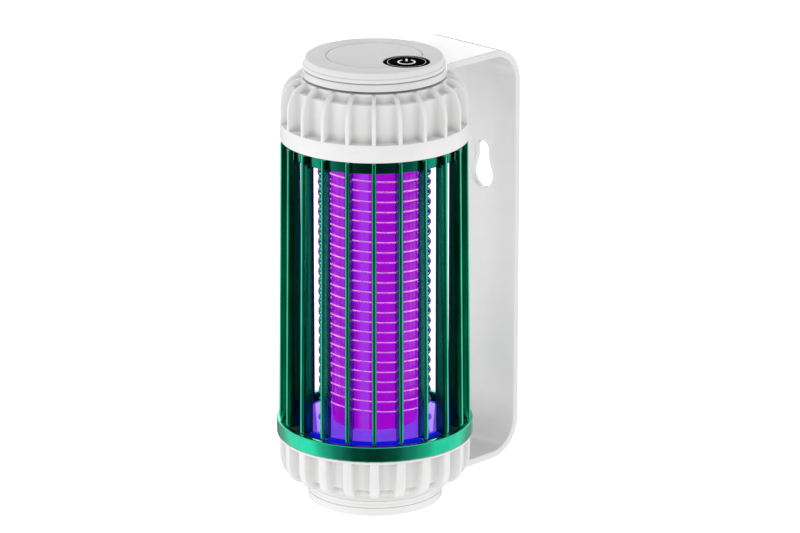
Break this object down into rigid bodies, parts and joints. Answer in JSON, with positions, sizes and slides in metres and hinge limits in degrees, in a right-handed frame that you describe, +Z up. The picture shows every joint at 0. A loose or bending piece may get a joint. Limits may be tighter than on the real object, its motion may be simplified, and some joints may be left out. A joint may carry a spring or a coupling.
{
  "type": "electric bug zapper",
  "caption": "Cordless electric insect lamp with a slatted metallic cage around a violet lit tube and wire grid, ribbed white ends, a top button and a C-shaped wall bracket.",
  "frame": {"origin": "on the lamp axis, at the underside of the base", "axes": "+Z up along the lamp axis; +Y towards the back plate of the wall bracket; +X to the right seen from the front"},
  "size_m": [0.093, 0.1234, 0.216],
  "materials": {
    "white_plastic": "satin white moulded ABS with a fine sheen",
    "bracket_plastic": "satin white moulded ABS strap",
    "green_plated": "emerald green metallic plating, glossy",
    "black_plastic": "glossy black moulded plastic",
    "rubber_pad": "pale grey non-slip pad, matt",
    "battery_wrap": "blue shrink sleeve",
    "circuit_board": "green solder mask",
    "steel": "plain steel",
    "grid_wire": "bright steel wire",
    "lamp_tube": "violet diffusing tube, lit",
    "led_column": "white carrier strip",
    "violet_plastic": "glossy plastic lit violet",
    "blue_post": "blue insulating plastic, glossy"
  },
  "bodies": {
    "lamp": {"top_cap": "white_plastic", "switch_block": "black_plastic", "upper_housing": "white_plastic", "upper_deck": "white_plastic", "battery_cell": "battery_wrap", "control_board": "circuit_board", "hv_converter": "black_plastic", "charging_socket": "steel", "deck_screw_01": "steel", "deck_screw_02": "steel", "deck_screw_03": "steel", "lamp_tube": "lamp_tube", "led_column": "led_column", "grid_floor": "violet_plastic", "grid_post_01": "blue_post", "grid_post_02": "blue_post", "grid_post_03": "blue_post", "grid_post_04": "blue_post", "grid_post_05": "blue_post", "grid_post_06": "blue_post", "grid_wire_a": "grid_wire", "grid_wire_b": "grid_wire", "cage_ring_upper": "green_plated", "cage_ring_lower": "green_plated", "cage_slat_01": "green_plated", "cage_slat_02": "green_plated", "cage_slat_03": "green_plated", "cage_slat_04": "green_plated", "cage_slat_05": "green_plated", "cage_slat_06": "green_plated", "cage_slat_07": "green_plated", "cage_slat_08": "green_plated", "cage_slat_09": "green_plated", "cage_slat_10": "green_plated", "cage_slat_11": "green_plated", "cage_slat_12": "green_plated", "cage_slat_13": "green_plated", "cage_slat_14": "green_plated", "cage_slat_15": "green_plated", "cage_slat_16": "green_plated", "cage_slat_17": "green_plated", "cage_slat_18": "green_plated", "cage_slat_19": "green_plated", "cage_slat_20": "green_plated", "cage_slat_21": "green_plated", "cage_slat_22": "green_plated", "lower_housing": "white_plastic", "collector_funnel": "white_plastic"},
    "bracket": {"wall_bracket": "bracket_plastic"},
    "button": {"power_button": "black_plastic"},
    "tray": {"insect_tray": "white_plastic", "tray_foot": "white_plastic", "base_pad": "rubber_pad"},
    "lock_ring": {"lock_ring": "white_plastic"}
  },
  "joints": [
    {"name": "button_press", "type": "slide", "parent": "lamp", "child": "button", "axis": [0, 0, -1], "range_m": [0, 0.0008], "stiffness_N_per_m": 2500, "springref_m": -0.0002},
    {"name": "bracket_swivel", "type": "hinge", "parent": "lamp", "child": "bracket", "pos_m": [0, 0, 0.108], "axis": [0, 0, 1], "continuous": true},
    {"name": "tray_slide", "type": "slide", "parent": "lamp", "child": "tray", "axis": [0, 0, -1], "range_m": [0, 0.03]},
    {"name": "lock_ring_turn", "type": "hinge", "parent": "tray", "child": "lock_ring", "pos_m": [0, 0, 0.0057], "axis": [0, 0, 1], "range_deg": [0, 30]}
  ]
}
